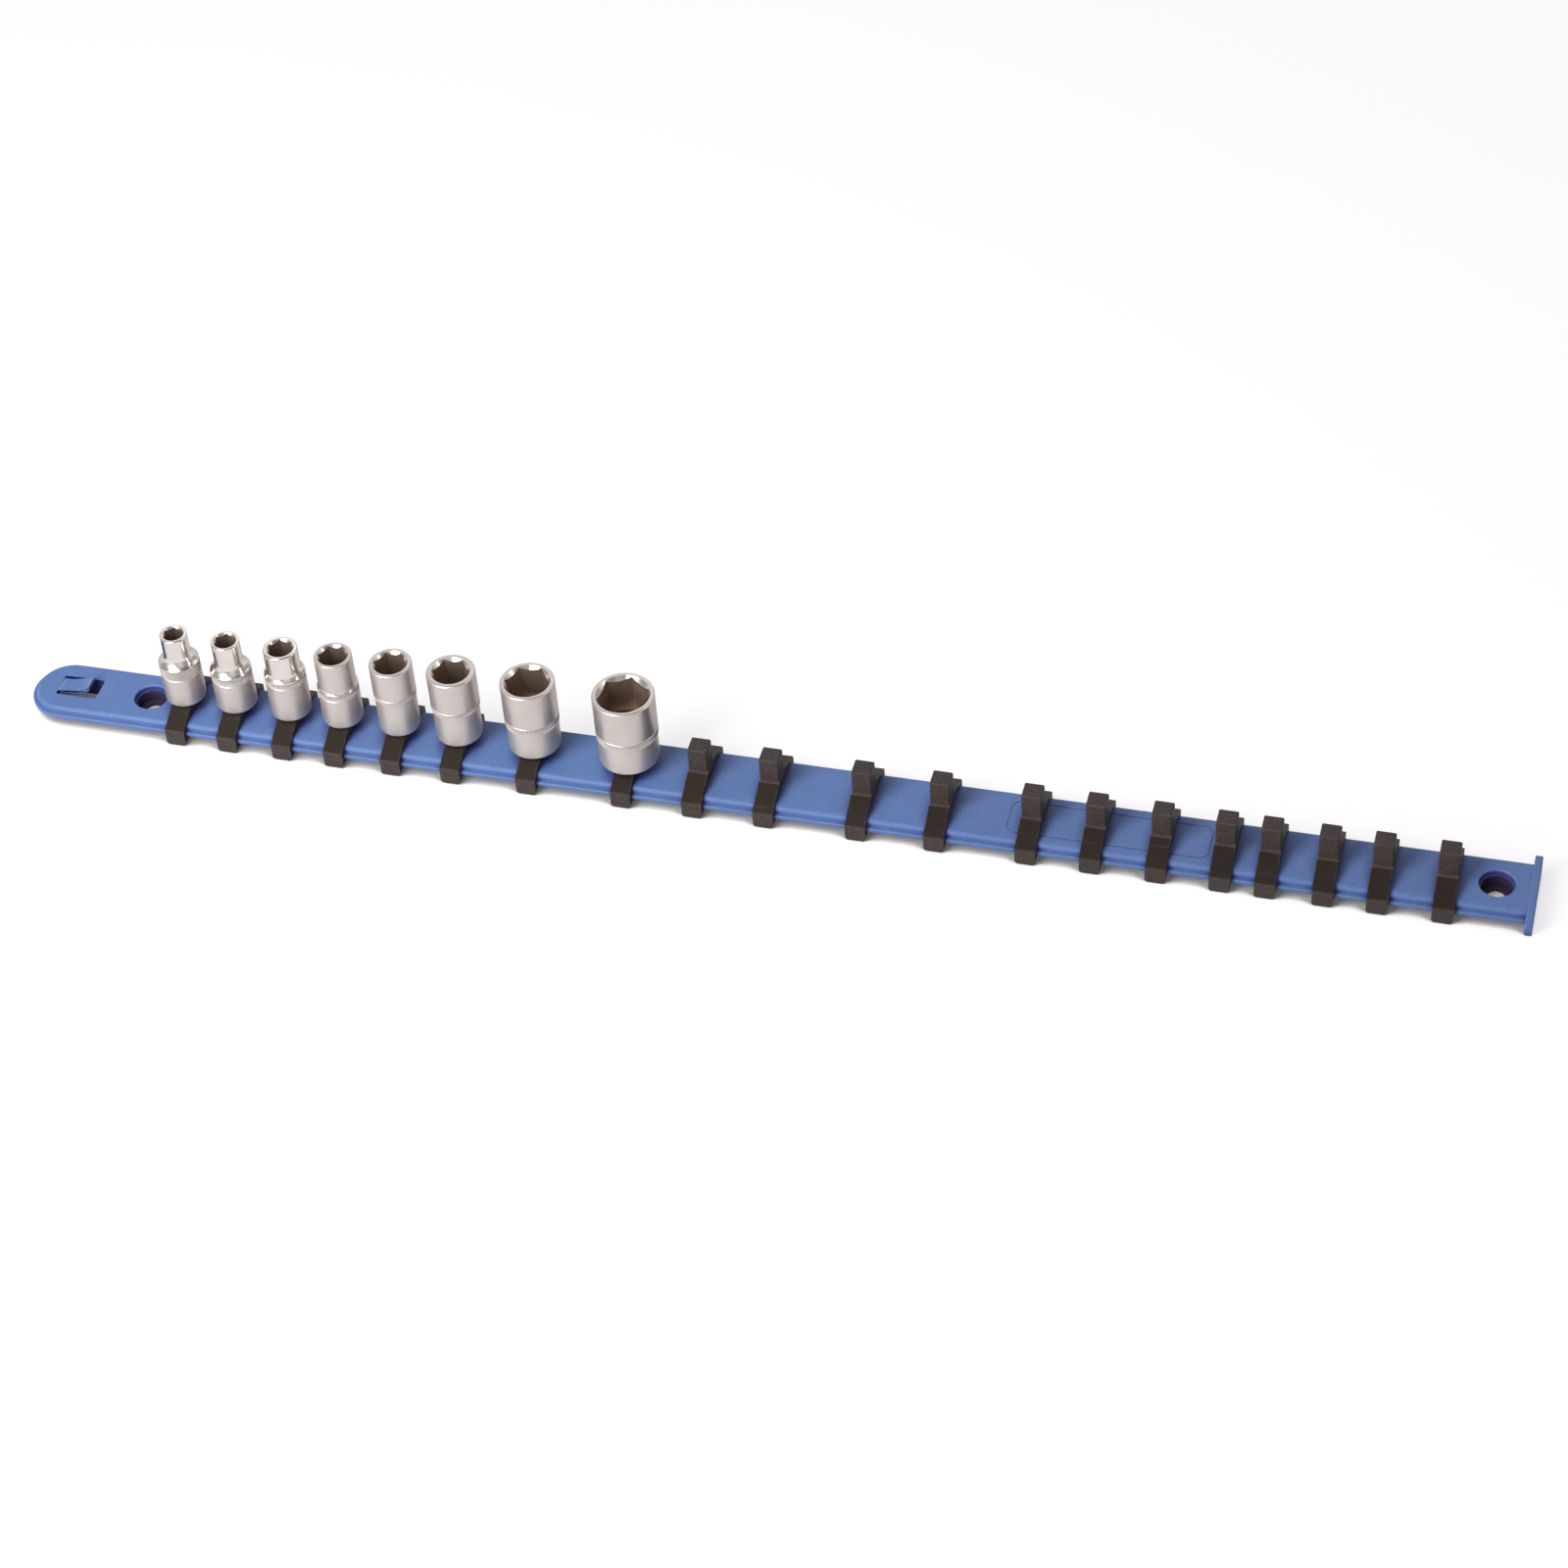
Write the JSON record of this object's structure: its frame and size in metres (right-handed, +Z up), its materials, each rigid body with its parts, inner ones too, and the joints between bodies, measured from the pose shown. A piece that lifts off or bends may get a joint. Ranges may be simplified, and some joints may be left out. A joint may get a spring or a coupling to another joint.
{
  "type": "socket rail",
  "caption": "Long moulded rail with screw holes, a sprung catch and a stop plate, carrying sliding square-post clips, some with chrome drive sockets.",
  "frame": {"origin": "middle of the rail's underside, on the surface that it stands on", "axes": "+X along the rail from the catch to the stop plate, +Z up along the posts, +Y to the far side"},
  "size_m": [0.466, 0.0262, 0.0351],
  "materials": {
    "rail_blue": "matte moulded",
    "clip_black": "matte moulded",
    "chrome": "polished"
  },
  "bodies": {
    "rail": {"rail": "rail_blue"},
    "clip_01": {"clip_01": "clip_black"},
    "clip_02": {"clip_02": "clip_black"},
    "clip_03": {"clip_03": "clip_black"},
    "clip_04": {"clip_04": "clip_black"},
    "clip_05": {"clip_05": "clip_black"},
    "clip_06": {"clip_06": "clip_black"},
    "clip_07": {"clip_07": "clip_black"},
    "clip_08": {"clip_08": "clip_black"},
    "clip_09": {"clip_09": "clip_black"},
    "clip_10": {"clip_10": "clip_black"},
    "clip_11": {"clip_11": "clip_black"},
    "clip_12": {"clip_12": "clip_black"},
    "clip_13": {"clip_13": "clip_black"},
    "clip_14": {"clip_14": "clip_black"},
    "clip_15": {"clip_15": "clip_black"},
    "clip_16": {"clip_16": "clip_black"},
    "clip_17": {"clip_17": "clip_black"},
    "clip_18": {"clip_18": "clip_black"},
    "clip_19": {"clip_19": "clip_black"},
    "clip_20": {"clip_20": "clip_black"},
    "socket_01": {"socket_01": "chrome"},
    "socket_02": {"socket_02": "chrome"},
    "socket_03": {"socket_03": "chrome"},
    "socket_04": {"socket_04": "chrome"},
    "socket_05": {"socket_05": "chrome"},
    "socket_06": {"socket_06": "chrome"},
    "socket_07": {"socket_07": "chrome"},
    "socket_08": {"socket_08": "chrome"}
  },
  "joints": [
    {"name": "clip_01_slide", "type": "slide", "parent": "rail", "child": "clip_01", "axis": [1, 0, 0], "range_m": [-0.02834, 0.00392]},
    {"name": "clip_02_slide", "type": "slide", "parent": "rail", "child": "clip_02", "axis": [1, 0, 0], "range_m": [-0.00392, 0.0049]},
    {"name": "clip_03_slide", "type": "slide", "parent": "rail", "child": "clip_03", "axis": [1, 0, 0], "range_m": [-0.0049, 0.00397]},
    {"name": "clip_04_slide", "type": "slide", "parent": "rail", "child": "clip_04", "axis": [1, 0, 0], "range_m": [-0.00397, 0.00519]},
    {"name": "clip_05_slide", "type": "slide", "parent": "rail", "child": "clip_05", "axis": [1, 0, 0], "range_m": [-0.00519, 0.00481]},
    {"name": "clip_06_slide", "type": "slide", "parent": "rail", "child": "clip_06", "axis": [1, 0, 0], "range_m": [-0.00481, 0.00791]},
    {"name": "clip_07_slide", "type": "slide", "parent": "rail", "child": "clip_07", "axis": [1, 0, 0], "range_m": [-0.00791, 0.01172]},
    {"name": "clip_08_slide", "type": "slide", "parent": "rail", "child": "clip_08", "axis": [1, 0, 0], "range_m": [-0.01172, 0.00923]},
    {"name": "clip_09_slide", "type": "slide", "parent": "rail", "child": "clip_09", "axis": [1, 0, 0], "range_m": [-0.00923, 0.01552]},
    {"name": "clip_10_slide", "type": "slide", "parent": "rail", "child": "clip_10", "axis": [1, 0, 0], "range_m": [-0.01552, 0.02173]},
    {"name": "clip_11_slide", "type": "slide", "parent": "rail", "child": "clip_11", "axis": [1, 0, 0], "range_m": [-0.02173, 0.01725]},
    {"name": "clip_12_slide", "type": "slide", "parent": "rail", "child": "clip_12", "axis": [1, 0, 0], "range_m": [-0.01725, 0.02093]},
    {"name": "clip_13_slide", "type": "slide", "parent": "rail", "child": "clip_13", "axis": [1, 0, 0], "range_m": [-0.02093, 0.01263]},
    {"name": "clip_14_slide", "type": "slide", "parent": "rail", "child": "clip_14", "axis": [1, 0, 0], "range_m": [-0.01263, 0.0129]},
    {"name": "clip_15_slide", "type": "slide", "parent": "rail", "child": "clip_15", "axis": [1, 0, 0], "range_m": [-0.0129, 0.01228]},
    {"name": "clip_16_slide", "type": "slide", "parent": "rail", "child": "clip_16", "axis": [1, 0, 0], "range_m": [-0.01228, 0.00664]},
    {"name": "clip_17_slide", "type": "slide", "parent": "rail", "child": "clip_17", "axis": [1, 0, 0], "range_m": [-0.00664, 0.01023]},
    {"name": "clip_18_slide", "type": "slide", "parent": "rail", "child": "clip_18", "axis": [1, 0, 0], "range_m": [-0.01023, 0.00912]},
    {"name": "clip_19_slide", "type": "slide", "parent": "rail", "child": "clip_19", "axis": [1, 0, 0], "range_m": [-0.00912, 0.01223]},
    {"name": "clip_20_slide", "type": "slide", "parent": "rail", "child": "clip_20", "axis": [1, 0, 0], "range_m": [-0.01223, 0.0199]},
    {"name": "socket_01_lift", "type": "slide", "parent": "clip_01", "child": "socket_01", "axis": [0, 0, 1], "range_m": [0, 0.012]},
    {"name": "socket_02_lift", "type": "slide", "parent": "clip_02", "child": "socket_02", "axis": [0, 0, 1], "range_m": [0, 0.012]},
    {"name": "socket_03_lift", "type": "slide", "parent": "clip_03", "child": "socket_03", "axis": [0, 0, 1], "range_m": [0, 0.012]},
    {"name": "socket_04_lift", "type": "slide", "parent": "clip_04", "child": "socket_04", "axis": [0, 0, 1], "range_m": [0, 0.012]},
    {"name": "socket_05_lift", "type": "slide", "parent": "clip_05", "child": "socket_05", "axis": [0, 0, 1], "range_m": [0, 0.012]},
    {"name": "socket_06_lift", "type": "slide", "parent": "clip_06", "child": "socket_06", "axis": [0, 0, 1], "range_m": [0, 0.012]},
    {"name": "socket_07_lift", "type": "slide", "parent": "clip_07", "child": "socket_07", "axis": [0, 0, 1], "range_m": [0, 0.012]},
    {"name": "socket_08_lift", "type": "slide", "parent": "clip_08", "child": "socket_08", "axis": [0, 0, 1], "range_m": [0, 0.012]}
  ]
}
